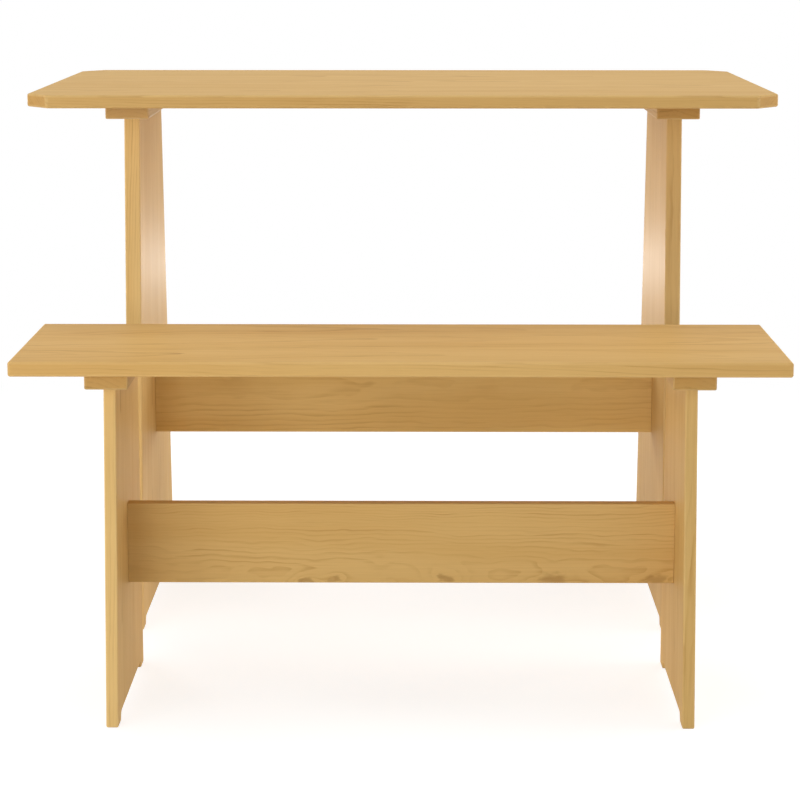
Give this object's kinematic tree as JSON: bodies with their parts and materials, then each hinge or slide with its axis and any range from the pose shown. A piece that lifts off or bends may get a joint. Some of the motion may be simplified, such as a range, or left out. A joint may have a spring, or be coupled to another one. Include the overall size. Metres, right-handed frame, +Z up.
{
  "type": "bench and table set",
  "caption": "Backless pine bench standing in front of a matching dining table with clipped corners; boards on leg panels joined by a low stretcher rail.",
  "frame": {"origin": "on the floor under the middle of the box round the whole set, bench and table together", "axes": "+X to the right as seen from the bench's side, +Y from the bench to the table, +Z up"},
  "size_m": [0.98, 0.94, 0.74],
  "materials": {
    "pine_top": "clear satin lacquer",
    "pine_panel": "clear satin lacquer",
    "pine_rail": "clear satin lacquer",
    "beech_dowel": "bare, fluted",
    "zinc_steel": "bright zinc plated"
  },
  "bodies": {
    "table": {"table_top": "pine_top", "table_left_cleat": "pine_rail", "table_right_cleat": "pine_rail", "table_left_leg": "pine_panel", "table_right_leg": "pine_panel", "table_stretcher": "pine_rail", "table_bolts": "zinc_steel", "table_barrel_nuts": "zinc_steel", "table_dowels": "beech_dowel", "table_top_screws": "zinc_steel", "table_cleat_screws": "zinc_steel"},
    "bench": {"bench_seat": "pine_top", "bench_left_cleat": "pine_rail", "bench_right_cleat": "pine_rail", "bench_left_leg": "pine_panel", "bench_right_leg": "pine_panel", "bench_stretcher": "pine_rail", "bench_bolts": "zinc_steel", "bench_barrel_nuts": "zinc_steel", "bench_dowels": "beech_dowel", "bench_seat_screws": "zinc_steel", "bench_cleat_screws": "zinc_steel"}
  },
  "joints": [
    {"name": "bench_slide", "type": "slide", "parent": "table", "child": "bench", "axis": [0, 1, 0], "range_m": [-0.4, 0.14]}
  ]
}
